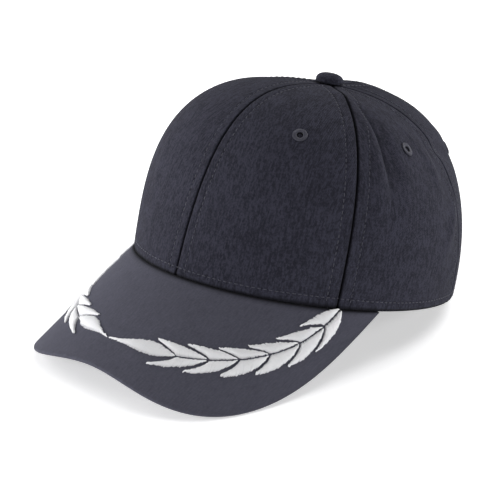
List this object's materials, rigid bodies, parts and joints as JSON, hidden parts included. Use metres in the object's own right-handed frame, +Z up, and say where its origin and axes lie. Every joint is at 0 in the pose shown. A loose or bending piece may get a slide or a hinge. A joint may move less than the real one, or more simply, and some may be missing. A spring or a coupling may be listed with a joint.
{
  "type": "baseball cap",
  "caption": "Cap with a six-panel cloth crown, a curved stiff brim with embroidered laurel sprays, and an open back arch crossed by a strap.",
  "frame": {"origin": "on the surface that the cap stands on, under the middle of its bounding box", "axes": "+Z is up, the brim points to -Y, and +X is the wearer's left"},
  "size_m": [0.172, 0.2658, 0.1342],
  "materials": {
    "twill": "matte charcoal cotton twill",
    "tape": "matte black cotton tape",
    "thread": "charcoal embroidery thread with a soft sheen",
    "satin": "white satin stitch with a soft sheen"
  },
  "bodies": {
    "root": {"front_panel_left": "twill", "front_panel_right": "twill", "side_panel_left": "twill", "side_panel_right": "twill", "back_panel_left": "twill", "back_panel_right": "twill", "brim": "twill", "button": "twill", "back_strap": "twill", "sweatband": "tape", "eyelet_front_left": "thread", "eyelet_side_left": "thread", "eyelet_side_right": "thread", "eyelet_back_left": "thread", "eyelet_back_right": "thread", "leaf_tip_left": "satin", "leaf_pair_left_1": "satin", "leaf_pair_left_2": "satin", "leaf_pair_left_3": "satin", "leaf_pair_left_4": "satin", "leaf_pair_left_5": "satin", "leaf_pair_left_6": "satin", "leaf_tip_right": "satin", "leaf_pair_right_1": "satin", "leaf_pair_right_2": "satin", "leaf_pair_right_3": "satin", "leaf_pair_right_4": "satin", "leaf_pair_right_5": "satin", "leaf_pair_right_6": "satin"}
  },
  "joints": []
}
